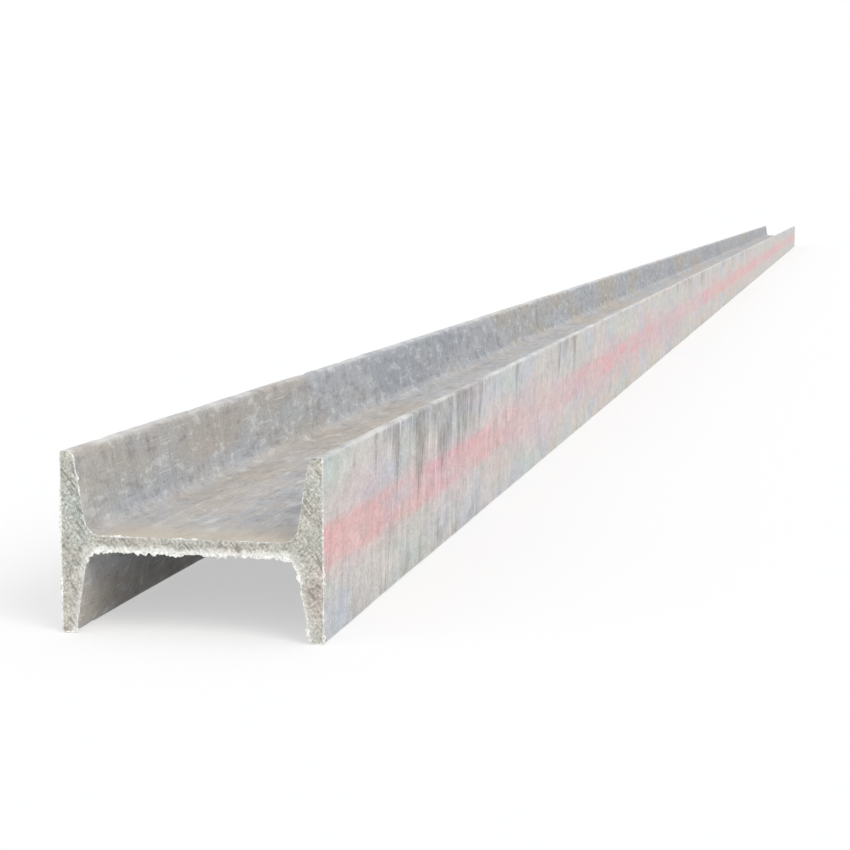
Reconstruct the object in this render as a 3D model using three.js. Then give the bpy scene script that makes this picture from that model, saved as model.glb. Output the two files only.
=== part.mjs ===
// One straight piece of hot-rolled steel beam: two tapering flanges joined by a thin web.
// It lies as it is stored, with the web level and both flanges upright, so that its end reads
// as an H, and it rests on the narrow toes of its flanges.
//
// Millimetres. +Y runs along the beam, +X across its depth and +Z up. The origin is on the
// floor, under the middle of the beam.

import * as THREE from 'three';

// Driving dimensions.
const LENGTH = 6000; // stock length, between two square saw cuts
const DEPTH = 100; // between the outer faces of the flanges
const FLANGE_WIDTH = 68; // from toe to toe, the height of the lying beam
const WEB_THICKNESS = 5.5;
const FLANGE_THICKNESS = 7.6; // halfway between the web and the toe
const FLANGE_SLOPE = 1 / 6; // how fast a flange's inner face falls off towards its toe
const ROOT_RADIUS = 6.5; // fillet between the web and a flange
const TOE_RADIUS = 3.3; // inner edge of a toe, as the rolls leave it
const EDGE_RADIUS = 1; // outer edge of a toe

const ARC_DIVISIONS = 5; // three.js gives an arc twice as many straight steps
const HALF_TURN = Math.PI;
const QUARTER_TURN = Math.PI / 2;

// The section is drawn about its centre, with x across the depth and y along the flanges.
const flangeFace = DEPTH / 2;
const toeFace = FLANGE_WIDTH / 2;
const webFace = WEB_THICKNESS / 2;
const taper = Math.atan(FLANGE_SLOPE);

// Where the flange has its nominal thickness: the middle of its overhang beyond the web.
const gaugeHeight = (toeFace + webFace) / 2;

// How thick the flange is at a height above the section's centre, fillets left aside.
const flangeThicknessAt = (height) =>
  FLANGE_THICKNESS + (gaugeHeight - height) * FLANGE_SLOPE;

// An arc that touches the sloping inner face lies its radius away from it. Measured level,
// along x, that distance is the radius over the cosine of the taper.
const levelReach = (radius) => radius / Math.cos(taper);

// The toe's two roundings share its thickness, so the inner one is limited by what the
// outer one leaves. The bracket is how much of that thickness one unit of radius takes.
const toeRadius = Math.min(
  TOE_RADIUS,
  (flangeThicknessAt(toeFace) - EDGE_RADIUS) / (levelReach(1) - FLANGE_SLOPE),
);

// One quarter of the outline, from the outer face of the right flange over its upper toe to
// the middle of the web, is three arcs. The straight stretches run from arc to arc.
function quarterOutline() {
  const toeHeight = toeFace - toeRadius;
  const rootHeight = webFace + ROOT_RADIUS;
  return [
    {
      x: flangeFace - EDGE_RADIUS,
      y: toeFace - EDGE_RADIUS,
      radius: EDGE_RADIUS,
      from: 0,
      to: QUARTER_TURN,
      clockwise: false,
    },
    {
      // Centred inside the flange, so its reach adds to the inner face.
      x: flangeFace - flangeThicknessAt(toeHeight) + levelReach(toeRadius),
      y: toeHeight,
      radius: toeRadius,
      from: QUARTER_TURN,
      to: HALF_TURN - taper,
      clockwise: false,
    },
    {
      // Centred in the open trough, so it curves the other way round.
      x: flangeFace - flangeThicknessAt(rootHeight) - levelReach(ROOT_RADIUS),
      y: rootHeight,
      radius: ROOT_RADIUS,
      from: -taper,
      to: -QUARTER_TURN,
      clockwise: true,
    },
  ];
}

// An arc seen in the section's vertical centre line. It is also run from its other end,
// which keeps the outline going the same way round.
const mirrored = (arc) => ({
  ...arc,
  x: -arc.x,
  from: HALF_TURN - arc.to,
  to: HALF_TURN - arc.from,
});

// An arc turned by half a turn about the section's centre.
const turned = (arc) => ({
  ...arc,
  x: -arc.x,
  y: -arc.y,
  from: arc.from + HALF_TURN,
  to: arc.to + HALF_TURN,
});

// The whole section: the quarter and its mirror image make the upper half, and the upper
// half turned round makes the lower one.
function sectionShape() {
  const quarter = quarterOutline();
  const upperHalf = [...quarter, ...quarter.map(mirrored).reverse()];
  const shape = new THREE.Shape();
  for (const arc of [...upperHalf, ...upperHalf.map(turned)]) {
    shape.absarc(arc.x, arc.y, arc.radius, arc.from, arc.to, arc.clockwise);
  }
  return shape;
}

const rolledSteel = new THREE.MeshStandardMaterial({
  name: 'rolled steel',
  color: 0xa9abac,
  roughness: 0.6,
  metalness: 0.7,
});

function makeBeam() {
  const geometry = new THREE.ExtrudeGeometry(sectionShape(), {
    depth: LENGTH,
    steps: 1,
    curveSegments: ARC_DIVISIONS,
    bevelEnabled: false,
  });
  geometry.translate(0, 0, -LENGTH / 2);
  const beam = new THREE.Mesh(geometry, rolledSteel);
  beam.name = 'beam';
  beam.rotation.x = QUARTER_TURN; // lays the extrusion down, with the section's y upwards
  beam.position.z = toeFace; // the lower toes touch the floor
  return beam;
}

const group = new THREE.Group();
group.add(makeBeam());

export default group;
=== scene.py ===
"""A straight piece of hot-rolled steel beam that lies on the toes of its flanges.

The rolled skin is the beam's section carried along its length, a little uneven as the rolls
leave it, with a sawn face at each end and a torn burr round the near and far cuts. A faded
red marking stripe runs along the outer face of each flange. Sizes are in metres.
"""

import math

import bpy
import numpy as np
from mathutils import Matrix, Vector


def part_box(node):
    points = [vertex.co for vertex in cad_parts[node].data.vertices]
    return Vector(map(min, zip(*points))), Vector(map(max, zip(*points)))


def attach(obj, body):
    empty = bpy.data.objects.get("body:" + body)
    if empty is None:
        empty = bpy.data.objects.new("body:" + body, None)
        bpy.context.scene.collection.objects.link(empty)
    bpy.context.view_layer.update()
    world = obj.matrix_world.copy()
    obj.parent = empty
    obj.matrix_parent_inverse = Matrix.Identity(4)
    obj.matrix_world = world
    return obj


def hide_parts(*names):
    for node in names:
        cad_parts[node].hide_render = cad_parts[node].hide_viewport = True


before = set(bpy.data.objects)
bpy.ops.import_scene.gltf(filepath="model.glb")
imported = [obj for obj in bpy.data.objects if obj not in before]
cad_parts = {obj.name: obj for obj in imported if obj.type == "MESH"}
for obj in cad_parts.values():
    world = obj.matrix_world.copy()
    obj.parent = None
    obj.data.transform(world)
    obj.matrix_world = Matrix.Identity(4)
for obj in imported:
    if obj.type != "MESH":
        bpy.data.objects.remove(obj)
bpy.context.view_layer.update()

MM = 0.001
LOW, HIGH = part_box("beam")
DEPTH = HIGH.x - LOW.x
FLANGE_WIDTH = HIGH.z - LOW.z
MIDDLE_Z = (LOW.z + HIGH.z) / 2
NEAR_Y, FAR_Y = LOW.y, HIGH.y

# The rolled section, as the solid has it.
WEB_THICKNESS = 5.5 * MM
FLANGE_THICKNESS = 7.6 * MM  # halfway between the web and the toe
FLANGE_SLOPE = 1 / 6
ROOT_RADIUS = 6.5 * MM
TOE_RADIUS = 3.3 * MM
EDGE_RADIUS = 1 * MM

# How finely the skin and the burrs are divided. Past the rows of the chamfer, the rows along
# the beam go by how far they are from a cut: up to so far, they are so far apart.
ARC_STEPS = {EDGE_RADIUS: 4, TOE_RADIUS: 6, ROOT_RADIUS: 9}
SKIN_SPACING = 4.4 * MM
FIRST_ROW = 1.2 * MM
ROW_STEPS = ((0.06, 0.002), (0.30, 0.0038), (0.9, 0.0085), (math.inf, 0.028))
BURR_SPACING = 0.40 * MM

# Unevenness of the rolled surfaces: heights, and shortest and longest waves.
WAVE_HEIGHT = 0.06 * MM
WAVE_LENGTH = (0.02, 0.12)
TOE_WAVE_HEIGHT = 0.07 * MM
TOE_WAVE_LENGTH = (0.05, 0.4)
TOE_START = 0.86  # of half the flange width: where the toes' own waves begin

# Nicks in the toes: each size is drawn between the two values.
NICK_COUNT = 170
NICK_DEPTH = (0.15 * MM, 0.65 * MM)
NICK_LENGTH = (1.5 * MM, 6 * MM)
NICK_REACH = (0.8, 2.2)  # millimetres round the toe
NICK_INSET = (0.5, 4)  # millimetres in from the outer face
NICKS_NEAR = 1.6  # above 1, more of them are near the near end

# The saw cut and the torn lip round it.
CUT_CHAMFER = 0.25 * MM
CUT_RIM = 0.5 * MM
BURR_HEIGHT = 1.35 * MM
BURR_TOOTH = (1.1 * MM, 4.6 * MM)  # shortest and longest
BURR_STRETCH = (9 * MM, 45 * MM)  # how far it stays taller or lower

# The beam's flat map, under the name by which the export keeps a piece's own one.
FLAT_MAP = "OFBake"
STRIPS = 3
STRIP_MARGIN = 0.012
STRIP_HEIGHT = 0.79  # the sawn ends lie above
END_MARGIN = 0.01
END_WIDTH = 0.94  # of the half of the map that each sawn end has
HALF_SCALE = 0.8  # metres from a cut to where the map's scale along the beam is half
SKIN_WEIGHT = 0.7  # how much of a strip's width the skin gets for its way round
OUTER_FACE_WEIGHT = 0.6  # and what the outer faces and the toes get on top
TOE_WEIGHT = 1.2
OUTER_FACE_DEPTH = 2 * MM  # how far in from the sides still counts as an outer face
TOE_HEIGHT = 4 * MM  # and how far from the top and the bottom as a toe

# The camera, measured from the near end's lower right corner.
CAMERA_RIGHT = 0.182
CAMERA_BACK = 0.669
CAMERA_HEIGHT = 0.160
CAMERA_BEARING = math.radians(12.2)  # turned to the left of the beam's own direction
CAMERA_PITCH = math.radians(6.6)
CAMERA_LENS_MM = 83


# ---------------------------------------------------------------- shape


def section_arcs():
    """The arcs of the section's outline, counter-clockwise as seen from the near end.

    Each is (x, height, radius, first angle, last angle), about the section's centre. A
    quarter of the outline has three: the toe's outer edge, its inner edge and the root
    fillet. The last two touch the flange's inner face, which slopes by FLANGE_SLOPE.
    """
    face, toe, web = DEPTH / 2, FLANGE_WIDTH / 2, WEB_THICKNESS / 2
    taper = math.atan(FLANGE_SLOPE)
    gauge = (toe + web) / 2

    def inner_face(height):
        return face - FLANGE_THICKNESS - (gauge - height) * FLANGE_SLOPE

    toe_height, root_height = toe - TOE_RADIUS, web + ROOT_RADIUS
    quarter = [
        (face - EDGE_RADIUS, toe - EDGE_RADIUS, EDGE_RADIUS, 0, math.pi / 2),
        (inner_face(toe_height) + TOE_RADIUS / math.cos(taper), toe_height,
         TOE_RADIUS, math.pi / 2, math.pi - taper),
        (inner_face(root_height) - ROOT_RADIUS / math.cos(taper), root_height,
         ROOT_RADIUS, -taper, -math.pi / 2),
    ]
    mirrored = [(-x, z, r, math.pi - b, math.pi - a) for x, z, r, a, b in reversed(quarter)]
    half = quarter + mirrored
    turned = [(-x, -z, r, a + math.pi, b + math.pi) for x, z, r, a, b in half]
    return half + turned


def section_points():
    """The outline as points: every arc at its own steps, in the row frame's x and z."""
    runs = []
    for x, z, radius, first, last in section_arcs():
        angle = np.linspace(first, last, ARC_STEPS[radius] + 1)
        runs.append(np.column_stack([x + radius * np.cos(angle), z + radius * np.sin(angle)]))
    return np.concatenate(runs) + [0, MIDDLE_Z]


def along_loop(points, distances):
    """Points of a closed loop at the given distances along it."""
    closed = np.vstack([points, points[:1]])
    travelled = np.concatenate([[0], np.cumsum(np.linalg.norm(np.diff(closed, axis=0), axis=1))])
    return np.column_stack([np.interp(distances, travelled, closed[:, k]) for k in (0, 1)])


def skin_outline():
    """The outline with its straight stretches divided too, at SKIN_SPACING."""
    points = section_points()
    steps = np.linalg.norm(np.roll(points, -1, axis=0) - points, axis=1)
    starts = np.concatenate([[0], np.cumsum(steps)[:-1]])
    pieces = np.maximum(1, np.ceil(steps / SKIN_SPACING)).astype(int)
    distances = [s + d * np.arange(n) / n for s, d, n in zip(starts, steps, pieces)]
    return along_loop(points, np.concatenate(distances))


def outward(points):
    """The unit normal at each point of a counter-clockwise loop, square to its neighbours' line."""
    tangent = np.roll(points, -1, axis=0) - np.roll(points, 1, axis=0)
    normal = np.column_stack([tangent[:, 1], -tangent[:, 0]])
    return normal / np.linalg.norm(normal, axis=1, keepdims=True)


def graded_rows():
    """Places along the beam: close together at the cuts, wider apart towards the middle."""
    half = (FAR_Y - NEAR_Y) / 2
    rows, start = [np.array([0, CUT_CHAMFER, 2.5 * CUT_CHAMFER])], FIRST_ROW
    for stop, step in ROW_STEPS:
        stop = min(stop, half)
        rows.append(np.linspace(start, stop, round((stop - start) / step), endpoint=False))
        start = stop
    near = np.concatenate(rows)
    return np.concatenate([NEAR_Y + near, [NEAR_Y + half], FAR_Y - near[::-1]])


def round_loop(points):
    """A closed loop's points laid out on a circle of the same length, as two coordinates.

    Waves that read these meet themselves again where the loop closes.
    """
    steps = np.linalg.norm(np.roll(points, -1, axis=0) - points, axis=1)
    radius = steps.sum() / (2 * math.pi)
    turn = np.concatenate([[0], np.cumsum(steps)[:-1]]) / radius
    return radius * np.cos(turn), radius * np.sin(turn)


def waves(place, lengths, seed, count):
    """Smooth unevenness of about unit height: sine waves of random length, heading and phase.

    The place is a tuple of two or three coordinates, and the lengths are the shortest and the
    longest wave's. A wave's value is the sine of how far the place lies along its heading, in
    wavelengths, plus its phase. All waves are added.
    """
    draw = np.random.default_rng(seed)
    shortest, longest = lengths
    total = 0
    for _ in range(count):
        length = shortest * (longest / shortest) ** draw.random()
        heading = draw.normal(size=len(place))
        heading *= 2 * math.pi / length / np.linalg.norm(heading)
        turn = sum(p * h for p, h in zip(place, heading))
        total = total + np.sin(turn + 2 * math.pi * draw.random())
    return total / math.sqrt(count / 2)


def nicks(x, z, y):
    """Depth of the small dents along the toes: Gaussian hollows at random places on them."""
    draw = np.random.default_rng(7)
    depth = np.zeros(np.broadcast(x, y).shape)
    for _ in range(NICK_COUNT):
        side, top = draw.choice([-1, 1], 2)
        place = NEAR_Y + (FAR_Y - NEAR_Y) * draw.random() ** NICKS_NEAR
        deep = draw.uniform(*NICK_DEPTH)
        length = draw.uniform(*NICK_LENGTH)
        reach = draw.uniform(*NICK_REACH) * MM
        across = x - side * (DEPTH / 2 - draw.uniform(*NICK_INSET) * MM)
        up = z - (MIDDLE_Z + top * FLANGE_WIDTH / 2)
        hollow = np.exp(-(across**2 + up**2) / (2 * reach**2))
        depth += deep * hollow * np.exp(-(((y - place) / length) ** 2))
    return depth


def make_mesh(name, points, faces, smooth, slots):
    """A mesh object from whole arrays. smooth and slots hold one entry for each face."""
    mesh = bpy.data.meshes.new(name)
    mesh.from_pydata(points, [], faces)
    mesh.polygons.foreach_set("use_smooth", smooth)
    mesh.polygons.foreach_set("material_index", slots)
    mesh.update()
    piece = bpy.data.objects.new(name, mesh)
    bpy.context.scene.collection.objects.link(piece)
    return piece


def loop_quads(rows, columns, closed=False):
    """Faces between neighbouring rows of a grid whose columns run round a closed loop.

    With closed, the last row joins the first one too.
    """
    row = np.arange(rows if closed else rows - 1)[:, None]
    column = np.arange(columns)[None, :]
    after, beside = (row + 1) % rows, (column + 1) % columns
    corners = [row * columns + column, after * columns + column,
               after * columns + beside, row * columns + beside]
    return np.stack([np.broadcast_to(c, (row.size, columns)) for c in corners], -1).reshape(-1, 4)


def end_places(points, far):
    """Where points of a sawn end lie on the flat map: above the strips, as seen square on.

    The near end, with far at 0, has the left half of the map and the far end, with far at
    1, the right half.
    """
    to_right = (1 - 2 * far) * points[..., 0] / DEPTH
    across = (far + 0.5 + END_WIDTH * to_right) / 2
    above_strips = 1 - STRIP_HEIGHT - 2 * END_MARGIN
    up = END_MARGIN + above_strips * (points[..., 2] - LOW.z) / FLANGE_WIDTH
    return np.stack([across, STRIP_HEIGHT + up], -1)


def flat_places(rings):
    """Where the corners of the beam's faces lie on its flat map, from 0 to 1 each way.

    The skin is cut into STRIPS that lie side by side. On the map a strip's width is the way
    round the section, drawn out at the outer faces and still more at the toes. Its height
    is the way along the beam, drawn out towards the cuts: the logarithm of one plus the
    distance from the nearer cut over HALF_SCALE. The two bands of faces next to a cut lie
    with the sawn end, which is seen square on.
    """
    count = rings.shape[1]
    middle = rings[len(rings) // 2]
    beside = np.roll(middle, -1, axis=0)
    x, z = np.abs((middle + beside)[:, 0] / 2), np.abs((middle + beside)[:, 2] / 2 - MIDDLE_Z)
    on_outer_face = x > DEPTH / 2 - OUTER_FACE_DEPTH
    on_toe = z > FLANGE_WIDTH / 2 - TOE_HEIGHT
    weight = SKIN_WEIGHT + OUTER_FACE_WEIGHT * on_outer_face + TOE_WEIGHT * on_toe
    around = np.cumsum(weight * np.linalg.norm(beside - middle, axis=1))
    around = 1 - np.concatenate([[0], around]) / around[-1]
    y = rings[:, 0, 1]
    from_cut = np.log1p(np.minimum(y - NEAR_Y, FAR_Y - y) / HALF_SCALE)
    along = STRIPS * (0.5 + 0.5 * np.sign(y) * (1 - from_cut / from_cut.max()))

    # The four corners of every face, in the order in which loop_quads has them.
    row = np.arange(len(rings) - 1)[:, None, None] + np.array([0, 1, 1, 0])
    column = np.arange(count)[None, :, None] + np.array([0, 0, 1, 1])
    strip = np.floor((along[:-1] + along[1:]) / 2)[:, None, None]
    inside = 1 - 2 * STRIP_MARGIN
    flat = np.empty((*np.broadcast_shapes(row.shape, column.shape), 2))
    flat[..., 0] = (strip + STRIP_MARGIN + inside * around[column]) / STRIPS
    flat[..., 1] = STRIP_HEIGHT * (STRIP_MARGIN + inside * (along[row] - strip))
    for bands, far in ((slice(2), 0), (slice(-2, None), 1)):
        flat[bands] = end_places(rings[row[bands], column % count], far)
    ends = end_places(rings[0], 0), end_places(rings[-1][::-1], 1)
    return np.concatenate([flat.reshape(-1, 2), *ends])


def make_beam():
    """The rolled skin and both sawn ends, as one closed surface.

    A point of the skin is the outline's point, moved along its own normal by the
    unevenness at its place, at each distance along the beam. Each end has a narrow
    chamfer, a rim and one flat face inside it.
    """
    outline, rows = skin_outline(), graded_rows()
    normal = outward(outline)
    x, z, y = outline[:, 0][None, :], outline[:, 1][None, :], rows[:, None]
    around = round_loop(outline)
    up_flange = np.abs(z - MIDDLE_Z) / (FLANGE_WIDTH / 2)
    near_toe = np.clip((up_flange - TOE_START) / (1 - TOE_START), 0, 1)
    drawn_along = 0.35 * y  # makes the waves longer along the beam than round it
    uneven = WAVE_HEIGHT * waves((*around, drawn_along), WAVE_LENGTH, seed=11, count=12)
    toe_waves = waves((*around, y), TOE_WAVE_LENGTH, seed=12, count=14)
    uneven = uneven + TOE_WAVE_HEIGHT * near_toe * toe_waves
    uneven = uneven - nicks(x, z, y)
    lowest_allowed = LOW.z - z  # no point goes under the floor
    skin_x = x + normal[:, 0] * uneven
    skin_z = z + np.maximum(normal[:, 1] * uneven, lowest_allowed)

    skin = np.stack([skin_x, np.broadcast_to(y, skin_x.shape), skin_z], -1)
    step = np.array([normal[:, 0], np.zeros(len(normal)), normal[:, 1]]).T
    near_edge = skin[0] - step * CUT_CHAMFER
    far_edge = skin[-1] - step * CUT_CHAMFER
    rings = np.concatenate([
        (near_edge - step * CUT_RIM)[None], near_edge[None], skin[1:-1],
        far_edge[None], (far_edge - step * CUT_RIM)[None],
    ])
    count = len(outline)
    first_ring = list(range(count))
    last_ring = list(range((len(rings) - 1) * count, len(rings) * count))
    band = np.repeat(np.arange(len(rings) - 1), count)
    at_end = (band <= 1) | (band >= len(rings) - 3)
    smooth = np.concatenate([~at_end, [False, False]])
    slots = np.concatenate([at_end, [True, True]]).astype(int)
    faces = loop_quads(len(rings), count).tolist() + [first_ring, last_ring[::-1]]
    beam = make_mesh("rolled_beam", rings.reshape(-1, 3), faces, smooth, slots)
    # marks the chamfer and rim rows, on which the sawn end's material paints a highlight
    rim = np.zeros((len(rings), count), np.float32)
    rim[[1, 2, -3, -2]] = 1
    beam.data.attributes.new("rim", "FLOAT", "POINT").data.foreach_set("value", rim.ravel())
    flat_map = beam.data.uv_layers.new(name=FLAT_MAP)
    flat_map.uv.foreach_set("vector", flat_places(rings).astype(np.float32).ravel())
    return beam


def make_burr(name, cut_y, outward_y, seed):
    """The torn lip round a saw cut: a thin closed ring whose height changes from place to place.

    The lip follows the outline. Its root lies just inside the cut's edge and its tip stands
    out along the outline's normal by BURR_HEIGHT times a ragged share, more on the side
    where the blade leaves the steel. Where the share is none, the tip stays inside too.
    """
    coarse = section_points()
    length = np.linalg.norm(np.roll(coarse, -1, axis=0) - coarse, axis=1).sum()
    count = round(length / BURR_SPACING)
    outline = along_loop(coarse, np.arange(count) * length / count)
    normal = outward(outline)
    around = round_loop(outline)
    ragged = waves(around, BURR_TOOTH, seed, count=30)
    stretches = waves(around, BURR_STRETCH, seed + 1, count=10)
    inwards = np.clip(-normal[:, 0] * np.sign(outline[:, 0]), 0, 1)
    # Most where the outline looks down, less where it looks in at the trough.
    leaving = np.clip(0.06 + 0.26 * inwards - 0.9 * normal[:, 1], 0, 1)
    torn = np.clip(0.12 + 0.60 * leaving + 0.22 * stretches, 0.03, 1.1)
    share = torn * np.clip(0.74 + 0.34 * ragged, 0.08, 1.6)
    over_floor = (outline[:, 1] - LOW.z - 0.1 * MM) / np.maximum(-normal[:, 1], 1e-3)
    most = np.where(normal[:, 1] < -0.05, over_floor, 1)  # the tip stays clear of the floor
    tip = np.minimum(BURR_HEIGHT * share, most) - 0.10 * MM
    inside = -(0.12 + 0.50 * np.clip(share + 0.15 * np.roll(ragged, 7), 0, 1.3)) * MM
    lean = (0.08 + 0.20 * torn + 0.09 * np.roll(ragged, 3)) * MM * outward_y
    rings = [  # how far out each stands along the normal, and how far along the beam
        (inside, 0.02 * MM * outward_y),
        (0.4 * inside, 0.16 * MM * outward_y + 0.4 * lean),
        (tip - 0.05 * MM, 0.06 * MM * outward_y + lean),
        (tip, -0.08 * MM * outward_y + lean),
        (-0.20 * MM, -0.55 * MM * outward_y),
    ]
    points = np.stack([
        np.column_stack([outline[:, 0] + normal[:, 0] * off, np.full(count, cut_y) + shift,
                         outline[:, 1] + normal[:, 1] * off])
        for off, shift in rings
    ])
    if outward_y > 0:
        points = points[::-1]
    faces = loop_quads(len(rings), count, closed=True)
    total = len(faces)
    return make_mesh(name, points.reshape(-1, 3), faces.tolist(), np.zeros(total, bool),
                     np.zeros(total, int))


# ---------------------------------------------------------------- materials


class Signal:
    """A value or colour on its way through a material. Arithmetic on it adds Math nodes."""

    def __init__(self, surface, socket):
        self.surface, self.socket = surface, socket

    def math(self, operation, *values):
        """One Math node of the values given."""
        return self.surface.add("Math", {"operation": operation}, dict(enumerate(values)))

    def __add__(self, other):
        return self.math("ADD", self, other)

    def __radd__(self, other):
        return self.math("ADD", other, self)

    def __sub__(self, other):
        return self.math("SUBTRACT", self, other)

    def __rsub__(self, other):
        return self.math("SUBTRACT", other, self)

    def __mul__(self, other):
        return self.math("MULTIPLY", self, other)

    def __rmul__(self, other):
        return self.math("MULTIPLY", other, self)

    def __abs__(self):
        return self.math("ABSOLUTE", self)

    def larger(self, other):
        """The larger of two values."""
        return self.math("MAXIMUM", self, other)

    def rise(self, low, high):
        """0 below low, 1 above high and a smooth step between them."""
        settings = {"interpolation_type": "SMOOTHSTEP"}
        sockets = {"Value": self, "From Min": low, "From Max": high}
        return self.surface.add("MapRange", settings, sockets)

    def fall(self, low, high):
        """1 below low, 0 above high and a smooth step between them."""
        return 1 - self.rise(low, high)


class Nodes:
    """The node tree of a material or of the world."""

    def __init__(self, owner):
        owner.use_nodes = True
        self.tree = owner.node_tree
        self.tree.nodes.clear()

    def add(self, kind, settings=None, sockets=None, output=0):
        """A node of any type: its settings first, then the value or link of each socket."""
        node = self.tree.nodes.new("ShaderNode" + kind)
        for key, value in (settings or {}).items():
            setattr(node, key, value)
        for key, value in (sockets or {}).items():
            if isinstance(value, Signal):
                self.tree.links.new(value.socket, node.inputs[key])
            else:
                node.inputs[key].default_value = value
        return Signal(self, node.outputs[output]) if node.outputs else node

    def seen(self):
        """1 where a camera or glossy ray arrives, so a white backdrop can show there."""
        camera = self.add("LightPath", output="Is Camera Ray")
        return camera.larger(self.add("LightPath", output="Is Glossy Ray"))


class Surface(Nodes):
    """A material, with the place on the piece that its patterns read."""

    def __init__(self, name):
        self.material = bpy.data.materials.new(name)
        super().__init__(self.material)
        self.place = self.add("TexCoord", output="Object")
        parts = self.add("SeparateXYZ", sockets={"Vector": self.place}).socket.node
        self.x, self.y, self.z = (Signal(self, part) for part in parts.outputs)

    def patches(self, sizes, shift=0.0, detail=2.0, roughness=0.5, place=None):
        """Cloudy noise from 0 to 1 whose patches have the given size along x, y and z.

        It reads the place on the piece or another one, and does not vary along an axis
        whose size is None. Each shift gives another pattern.
        """
        scale = tuple(0.0 if size is None else 1 / size for size in sizes)
        moved = {0: place or self.place, 1: scale, 2: (shift, shift * 1.7, -shift)}
        vector = self.add("VectorMath", {"operation": "MULTIPLY_ADD"}, moved)
        sockets = {"Vector": vector, "Scale": 1.0, "Detail": detail, "Roughness": roughness}
        return self.add("TexNoise", None, sockets)

    def blend(self, share, first, second):
        """A colour between two colours."""
        settings = {"data_type": "RGBA", "clamp_factor": True}
        return self.add("Mix", settings, {0: share, 6: first, 7: second}, output=2)

    def shaded(self, colour, factor):
        """A colour made lighter or darker by a value."""
        return self.add("VectorMath", {"operation": "SCALE"}, {0: colour, "Scale": factor})

    def finish(self, colour, roughness, height, relief, **constants):
        """The shader, with its relief from a height in metres."""
        bump = self.add("Bump", None, {"Strength": relief, "Distance": 1.0, "Height": height},
                        output="Normal")
        sockets = {"Base Color": colour, "Roughness": roughness, "Normal": bump}
        sockets.update({key.replace("_", " "): value for key, value in constants.items()})
        self.add("OutputMaterial", None, {"Surface": self.add("BsdfPrincipled", None, sockets)})
        return self.material


def tone(red, green, blue):
    """A colour as it is seen, from 0 to 255, as the linear colour that a shader takes."""
    seen = np.array([red, green, blue]) / 255
    return (*np.where(seen <= 0.04045, seen / 12.92, ((seen + 0.055) / 1.055) ** 2.4), 1.0)


WARM_GREY = tone(205, 203, 199)
COOL_GREY = tone(189, 194, 203)
ROSY_GREY = tone(211, 199, 202)
GREEN_GREY = tone(192, 203, 196)
DUST = tone(209, 195, 182)
SOOT = tone(108, 99, 92)
GRIME = tone(124, 112, 98)
STRIPE_PINK = tone(226, 156, 171)
STRIPE_SALMON = tone(232, 168, 163)
# bright bare metal for wear, also used for painted highlights and glints
BRIGHT_WEAR_AND_HIGHLIGHT = tone(232, 230, 228)
TAN = tone(204, 190, 164)
SCALE_GREY = tone(182, 185, 189)
SCALE_BLUE = tone(168, 172, 179)
SCALE_BROWN = tone(184, 175, 163)
SCALE_PLUM = tone(150, 143, 147)
BARE_STEEL = tone(214, 215, 214)
SAWN_GREY = tone(203, 200, 190)
SAWN_COOL = tone(196, 203, 197)
SAWN_ROSE = tone(206, 195, 188)
# bright torn steel, also used for painted glints and the rim's painted highlight
SAWN_BRIGHT_AND_HIGHLIGHT = tone(246, 246, 242)
SAWN_DARK = tone(120, 116, 107)
BURR_SHADE = tone(206, 204, 196)
BURR_BRIGHT = tone(250, 250, 247)


# Where one finish gives way to another: the two ends of a smooth step.
OUTER_FACE_STEP = (DEPTH / 2 - 1.6 * MM, DEPTH / 2 - 0.9 * MM)  # across, from the middle
WEB_STEP = (30 * MM, 40 * MM)  # likewise, from the web to the flanges
TOE_STEP = (0.478, 0.497)  # up or down, from the middle, in flange widths
STRIPE_STEP = (0.085, 0.185)  # likewise, from the marking stripe's full colour to none
HAZE_STEP = (0.12, 0.40)
CUT_EDGE_STEP = (0.5 * MM, 1.5 * MM)  # along, from a cut
TAN_STEP = (0.0, 50 * MM)
DUST_STEP = (0.2, 1.2)  # along, from the near end
STRIPE_LASTS_STEP = (0.2, 0.6)  # likewise, how far the stripe keeps its colour
RUNS_BEGIN_STEP, RUNS_END_STEP = (0.05, 0.12), (0.24, 0.46)  # likewise, the dark runs near it
TORN_STEP = (0.4 * MM, 3.0 * MM)  # in from the edge of a sawn end where the blade leaves it

SIDE = 0.03  # size in x of the outer faces' patterns, so small that the two faces differ
SAW_SLANT = math.radians(52)  # by which the saw marks fall to the right


class Skin(Surface):
    """The rolled skin's material, with the places and patterns that its finishes share.

    The streaks lean: they read a place that is moved along the beam by its height above the
    middle times a lean, which changes along the beam.
    """

    def __init__(self):
        super().__init__("rolled_skin")
        self.height = (self.z - MIDDLE_Z) * (1 / FLANGE_WIDTH)  # from -0.5 at the floor to 0.5
        self.from_near = self.y - NEAR_Y
        self.from_cut = FAR_Y - abs(self.y)
        self.outer_face = abs(self.x).rise(*OUTER_FACE_STEP)
        self.on_flange = abs(self.x).rise(*WEB_STEP)

        lean = 0.08 + 1.2 * (self.patches((SIDE, 0.12, None), 31.0) - 0.5)
        moved = self.y - lean * (self.z - MIDDLE_Z)
        self.leaning = self.add("CombineXYZ", None, {"X": self.x, "Y": moved, "Z": self.z})
        self.fine_streaks = self.patches((SIDE, 0.0013, 0.010), 8.4, 2.0, 0.6, self.leaning)
        self.broad_streaks = self.patches((SIDE, 0.0060, 0.024), 1.7, 3.0, 0.6, self.leaning)
        self.grain = self.patches((0.0012, 0.0012, 0.0012), 12.0, 2.0, 0.6)
        self.flakes = self.patches((0.005, 0.016, 0.005), 5.0, 6.0, 0.65)
        self.bare_flakes = self.flakes.rise(0.57, 0.60)
        self.rolling_lines = self.patches((0.0008, 0.14, 0.0008), 2.2, 4.0, 0.7)


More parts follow.
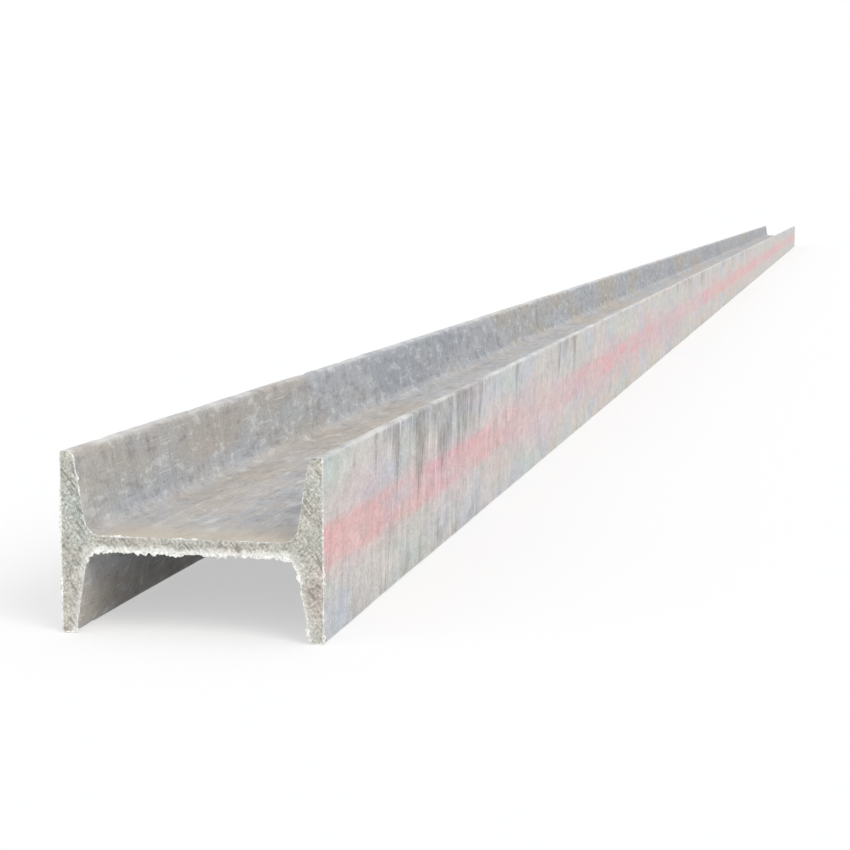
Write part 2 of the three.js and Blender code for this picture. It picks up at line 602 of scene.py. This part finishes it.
def pale_scale(s):
    """The outer faces' scale: clouds of warm and cool grey, rosy and green in places, dusty.

    The dust is thicker low down and further from the near end.
    """
    clouds = s.patches((SIDE, 0.09, 0.024), 3.1, 3.0)
    tints = s.patches((SIDE, 0.13, 0.030), 14.3, 3.0)
    outer = s.blend(clouds.rise(0.40, 0.66), WARM_GREY, COOL_GREY)
    outer = s.blend(0.6 * tints.rise(0.50, 0.64), outer, ROSY_GREY)
    outer = s.blend(0.6 * tints.fall(0.36, 0.50), outer, GREEN_GREY)
    dusty = s.patches((SIDE, 0.055, 0.020), 5.2, 4.0, 0.6).rise(0.42, 0.62)
    dusty = dusty * (0.08 + 0.26 * s.height.fall(-0.5, -0.1) + 0.50 * s.from_near.rise(*DUST_STEP))
    return s.blend(dusty, outer, DUST)


def marking_stripe(s, outer):
    """Faded red paint along the middle of an outer face, over the colour that is there.

    It is full near a centre line that wanders and falls off to frayed edges. It is worn in
    patches and by the streaks, and paler for long stretches away from the near end. A thin
    haze of the same paint lies round it.
    """
    wander = s.patches((SIDE, 0.30, None), 6.3)
    frayed = s.patches((SIDE, 0.0060, 0.02), 2.9, 4.0, 0.7, s.leaning)
    from_centre = abs(s.height - 0.05 * (wander - 0.5)) + 0.10 * (frayed - 0.5)
    patchy = s.patches((SIDE, 0.06, 0.012), 9.6, 4.0, 0.65).rise(0.26, 0.66)
    stripe = from_centre.fall(*STRIPE_STEP) * (0.30 + 0.42 * patchy)
    stripe = stripe * (0.70 + 0.50 * s.fine_streaks)
    lasting = s.patches((SIDE, 0.50, None), 61.0, 3.0).rise(0.38, 0.60)
    lasting = lasting.larger(s.from_near.fall(*STRIPE_LASTS_STEP))
    stripe = stripe * (0.45 + 0.55 * lasting)
    haze = from_centre.fall(*HAZE_STEP) * s.patches((SIDE, 0.20, 0.05), 19.0).rise(0.38, 0.62)
    paint = s.blend(s.patches((SIDE, 0.35, None), 4.9).rise(0.4, 0.6), STRIPE_PINK, STRIPE_SALMON)
    return s.blend(stripe.larger(0.26 * haze), outer, paint)


def streaked_shade(s):
    """How light an outer face is: its grain, a mottle, and streaks across it in places."""
    mottle = s.patches((SIDE, 0.013, 0.0045), 23.0, 3.0, 0.65)
    streaky = s.patches((SIDE, 0.11, 0.045), 37.0, 2.0).rise(0.36, 0.62)
    streaks = 0.46 * (s.fine_streaks - 0.5) + 0.65 * (s.broad_streaks - 0.5)
    shade = 0.96 + 0.62 * (s.grain - 0.5) + 0.50 * (mottle - 0.5)
    return shade + (0.25 + 0.80 * streaky) * streaks


def weathering(s, outer):
    """Dirt, bare metal and painted highlights over an outer face's colour.

    Dark runs hang from the upper toe and grime rises from the lower one, both combed by the
    fine streaks. How far they reach is a noise along the beam, and further where runs
    gather, in places and next to the near end. Smudges lie towards both toes. Bright rubbed
    lines lie all over, with bright flecks that are painted glints, and a painted highlight
    runs along the cut.
    """
    near_end = s.from_near.rise(*RUNS_BEGIN_STEP) * s.from_near.fall(*RUNS_END_STEP)
    gathered = s.patches((SIDE, 0.16, None), 4.4, 3.0).rise(0.44, 0.66)
    gathered = gathered.larger(1.35 * near_end)
    comb = 0.30 + 0.70 * s.fine_streaks.rise(0.36, 0.60)
    uneven = s.patches((SIDE, 0.025, 0.020), 47.0, 3.0, 0.6).rise(0.28, 0.56)

    hanging = s.patches((SIDE, 0.016, None), 17.0, 5.0, 0.7, s.leaning) - 0.60 + 0.18 * gathered
    runs = (2.3 * hanging + s.height - 0.5).rise(-0.05, 0.22)
    outer = s.blend(0.70 * runs * comb * (0.4 + 0.6 * uneven), outer, SOOT)
    rising = s.patches((SIDE, 0.014, None), 27.0, 5.0, 0.7, s.leaning) - 0.62
    rising = rising + 0.15 * s.patches((SIDE, 0.14, None), 8.1, 3.0).rise(0.44, 0.66)
    grime = (2.2 * rising - s.height - 0.5).rise(-0.05, 0.20)
    outer = s.blend(0.50 * grime * comb * (0.3 + 0.7 * uneven), outer, GRIME)
    smudges = s.patches((SIDE, 0.022, 0.012), 21.0, 4.0, 0.65).rise(0.56, 0.72)
    outer = s.blend(0.30 * smudges * abs(s.height).rise(0.12, 0.42), outer, SOOT)

    rubbed = s.patches((SIDE, 0.0024, 0.024), 41.0, 2.0, 0.6, s.leaning).rise(0.62, 0.74)
    outer = s.blend(0.55 * rubbed * (0.25 + 0.75 * gathered), outer, BRIGHT_WEAR_AND_HIGHLIGHT)
    # painted glints: bright flecks where the grain is lightest
    outer = s.blend(0.50 * s.grain.rise(0.60, 0.74), outer, BRIGHT_WEAR_AND_HIGHLIGHT)
    # painted highlight: a bright line along the cut's edge
    cut_edge_highlight = s.from_cut.fall(*CUT_EDGE_STEP) * (0.35 + 0.9 * s.grain)
    return s.blend(0.8 * cut_edge_highlight, outer, BRIGHT_WEAR_AND_HIGHLIGHT)


def trough_scale(s):
    """The scale between the flanges: plainer grey, with plum patches and bare flakes.

    The web is lined and scored along the beam and its flanges are combed across. Next to a
    cut the web is tan, and dust has settled on top of it.
    """
    tint = s.patches((0.05, 0.22, 0.04), 7.0, 3.0)
    trough = s.blend(tint.rise(0.48, 0.66), SCALE_GREY, SCALE_BLUE)
    trough = s.blend(0.7 * tint.fall(0.34, 0.50), trough, SCALE_BROWN)
    trough = s.blend(0.46 * s.flakes.fall(0.40, 0.44), trough, SCALE_PLUM)
    trough = s.blend(0.50 * s.bare_flakes, trough, BARE_STEEL)
    combed = s.on_flange * (0.36 * (s.fine_streaks - 0.5) + 0.50 * (s.broad_streaks - 0.5))
    lined = (0.70 - 0.52 * s.on_flange) * (s.rolling_lines - 0.5)
    speckled = 0.75 * (s.grain - 0.5) + 0.20 * (s.flakes - 0.5)
    trough = s.shaded(trough, 1.0 + combed + lined + speckled)
    scores = s.patches((0.0007, 0.045, 0.0007), 13.0, 2.0).rise(0.66, 0.72)
    trough = s.blend(0.5 * scores, trough, BRIGHT_WEAR_AND_HIGHLIGHT)

    tanned = s.from_cut.fall(*TAN_STEP) * (1 - 0.75 * s.on_flange) * (0.20 + 0.8 * s.grain)
    trough = s.blend(tanned, trough, TAN)
    web_top = MIDDLE_Z + WEB_THICKNESS / 2
    on_web = s.z.rise(web_top - 0.75 * MM, web_top - 0.25 * MM) * s.z.fall(
        web_top + 0.25 * MM, web_top + 4.25 * MM)
    settled = s.patches((0.010, 0.03, 0.010), 3.3, 5.0, 0.7).rise(0.42, 0.64)
    return s.blend(on_web * (0.08 + 0.34 * settled), trough, DUST)


def rolled_skin():
    """Mill scale: pale, dusty and streaked across on the outer faces, darker in the troughs.

    The toes' edges are worn bright in places, and that bright line is partly a painted highlight.
    """
    s = Skin()
    outer = s.shaded(marking_stripe(s, pale_scale(s)), streaked_shade(s))
    colour = s.blend(s.outer_face, trough_scale(s), weathering(s, outer))
    worn = s.patches((SIDE, 0.03, None), 3.9, 5.0, 0.7).rise(0.30, 0.72)
    # bright toe edges: wear in patches, partly a painted highlight along the rounded edge
    colour = s.blend(0.75 * abs(s.height).rise(*TOE_STEP) * worn, colour, BRIGHT_WEAR_AND_HIGHLIGHT)

    in_trough = 1 - s.outer_face
    roughness = 0.42 + 0.24 * s.broad_streaks + 0.16 * s.grain + 0.08 * in_trough
    relief = s.outer_face * (0.06 * MM * s.fine_streaks + 0.08 * MM * s.broad_streaks)
    relief = relief + 0.10 * MM * s.grain
    relief = relief + in_trough * (0.06 * MM * s.rolling_lines - 0.06 * MM * s.bare_flakes)
    return s.finish(colour, roughness, relief, 0.8, Metallic=0.25)


def sawn_steel():
    """The cut's granular grey steel, with slanting saw marks, painted glints on its grains and a
    painted highlight on its rim.

    The saw marks are noise drawn out along a line that falls at SAW_SLANT. A torn bright
    band lies along the edges where the blade leaves the steel, which are the web's lower
    edge and the flanges' inner ones. It fades over TORN_STEP, at a frayed depth.
    """
    s = Surface("sawn_steel")
    grains = s.patches((0.0011, 0.0011, 0.0011), 2.0, 3.0, 0.8)
    mottle = s.patches((0.0040, 0.0040, 0.0040), 5.0, 3.0, 0.6)
    tint = s.patches((0.022, 0.022, 0.022), 4.0, 3.0)
    colour = s.blend(0.8 * tint.rise(0.48, 0.66), SAWN_GREY, SAWN_COOL)
    colour = s.blend(0.8 * tint.fall(0.32, 0.48), colour, SAWN_ROSE)
    colour = s.shaded(colour, 2.10 * grains + 0.90 * mottle - 0.64)

    cosine, sine = math.cos(SAW_SLANT), math.sin(SAW_SLANT)
    across, along = s.x * sine + s.z * cosine, s.x * cosine - s.z * sine
    slanted = s.add("CombineXYZ", None, {"X": across, "Y": s.y, "Z": along})
    marks = s.patches((0.0011, 0.0011, 0.012), 7.0, 2.0, 0.6, slanted)
    marked = s.patches((0.010, 0.010, 0.010), 6.0).rise(0.40, 0.62)
    lines = marks.fall(0.36, 0.50) * (0.25 + 0.75 * marked)
    colour = s.blend(0.70 * lines, colour, SAWN_DARK)
    # painted glints: the lightest grains made near white
    colour = s.blend(0.60 * grains.rise(0.60, 0.74), colour, SAWN_BRIGHT_AND_HIGHLIGHT)
    colour = s.blend(0.75 * grains.fall(0.26, 0.40), colour, SAWN_DARK)

    gauge = (FLANGE_WIDTH + WEB_THICKNESS) / 4  # how far from the middle the flange is nominal
    in_flange = abs(s.x) - (DEPTH / 2 - FLANGE_THICKNESS) + FLANGE_SLOPE * (
        gauge - abs(s.z - MIDDLE_Z))
    in_web = s.z - MIDDLE_Z + WEB_THICKNESS / 2
    depth = in_flange.larger(in_web)
    frayed = s.patches((0.0035, 0.0035, 0.0035), 9.0, 4.0, 0.7)
    torn = (depth + 5 * MM * (frayed - 0.5)).fall(*TORN_STEP)
    torn = torn * (0.34 + 0.42 * abs(s.x).fall(0.034, 0.040))  # more on the web than beside it
    colour = s.blend(torn * (0.45 + 0.9 * grains), colour, SAWN_BRIGHT_AND_HIGHLIGHT)
    # painted highlight on the chamfer and rim rows
    rim = s.add("Attribute", {"attribute_name": "rim"}, output="Fac")
    colour = s.blend(0.5 * rim * grains.rise(0.35, 0.6), colour, SAWN_BRIGHT_AND_HIGHLIGHT)

    relief = 0.20 * MM * grains + 0.10 * MM * marks + 0.5 * MM * torn * frayed
    return s.finish(colour, 0.46 + 0.2 * grains, relief, 0.9, Metallic=0.3)


def torn_burr():
    """Bright torn steel along the edges of the cut."""
    s = Surface("torn_burr")
    flecks = s.patches((0.0010, 0.0010, 0.0010), 5.0, 2.0)
    colour = s.blend(flecks.rise(0.35, 0.65), BURR_SHADE, BURR_BRIGHT)
    return s.finish(colour, 0.42 + 0.2 * flecks, 0.05 * MM * flecks, 0.8, Metallic=0.2)


# ---------------------------------------------------------------- stage

FLOOR_REACH = 60
WHITE = (1, 1, 1, 1)
FLOOR_GREY = (0.75, 0.75, 0.75, 1)
SKY_TINT = (0.97, 0.985, 1.0, 1)
SKY_STRENGTH = 0.63


def make_floor():
    """A wide pale floor that shows white in full light but keeps the beam's shadow.

    To the camera it is an even mix of white paint in that light and plain white. To all
    other light it is matt pale grey.
    """
    mesh = bpy.data.meshes.new("floor")
    far = FLOOR_REACH
    corners = [(-far, -far, 0), (far, -far, 0), (far, far, 0), (-far, far, 0)]
    mesh.from_pydata(corners, [], [(0, 1, 2, 3)])
    floor = bpy.data.objects.new("floor", mesh)
    bpy.context.scene.collection.objects.link(floor)
    material = bpy.data.materials.new("pale_floor")
    s = Nodes(material)
    matt = s.add("BsdfDiffuse", None, {"Color": FLOOR_GREY})
    lit_white = s.add("BsdfDiffuse", None, {"Color": WHITE})
    plain_white = s.add("Emission", None, {"Color": WHITE})
    shown = s.add("MixShader", None, {0: 0.5, 1: lit_white, 2: plain_white})
    either = s.add("MixShader", None, {0: s.seen(), 1: matt, 2: shown})
    s.add("OutputMaterial", None, {"Surface": either})
    mesh.materials.append(material)


def make_world():
    """Soft light from all round, which shows as white behind the beam."""
    world = bpy.data.worlds.new("studio")
    bpy.context.scene.world = world
    s = Nodes(world)
    soft = s.add("Background", None, {"Color": SKY_TINT, "Strength": SKY_STRENGTH})
    white = s.add("Background", None, {"Color": WHITE})
    either = s.add("MixShader", None, {0: s.seen(), 1: soft, 2: white})
    s.add("OutputWorld", None, {"Surface": either})


def make_sun(name, towards, strength, width_degrees, colour):
    """A soft lamp far away, shining along the given direction."""
    lamp = bpy.data.lights.new(name, "SUN")
    lamp.energy, lamp.angle, lamp.color = strength, math.radians(width_degrees), colour
    sun = bpy.data.objects.new(name, lamp)
    sun.rotation_mode = "QUATERNION"
    sun.rotation_quaternion = Vector(towards).to_track_quat("-Z", "Y")
    bpy.context.scene.collection.objects.link(sun)


def make_camera():
    """A camera in front of the near end and to its right, a little above the beam."""
    camera = bpy.data.objects.new("camera", bpy.data.cameras.new("camera"))
    camera.data.sensor_width = 36
    camera.data.lens = CAMERA_LENS_MM
    camera.data.clip_start, camera.data.clip_end = 0.01, 200
    camera.location = (HIGH.x + CAMERA_RIGHT, NEAR_Y - CAMERA_BACK, CAMERA_HEIGHT)
    camera.rotation_euler = (math.pi / 2 - CAMERA_PITCH, 0, CAMERA_BEARING)
    bpy.context.scene.collection.objects.link(camera)
    bpy.context.scene.camera = camera


make_camera()

beam = make_beam()
beam.data.materials.append(rolled_skin())
beam.data.materials.append(sawn_steel())
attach(beam, "root")
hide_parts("beam")

burr_steel = torn_burr()
for name, cut_y, outward_y, seed in (("near_burr", NEAR_Y, -1, 31), ("far_burr", FAR_Y, 1, 47)):
    burr = make_burr(name, cut_y, outward_y, seed)
    burr.data.materials.append(burr_steel)
    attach(burr, "root")

make_floor()
make_world()
make_sun("key", towards=(-0.62, 0.50, -0.60), strength=1.55, width_degrees=35,
         colour=(1.0, 0.985, 0.96))
make_sun("fill", towards=(0.55, 0.65, -0.52), strength=0.55, width_degrees=60,
         colour=(0.96, 0.98, 1.0))
bpy.context.scene.view_settings.view_transform = "Standard"
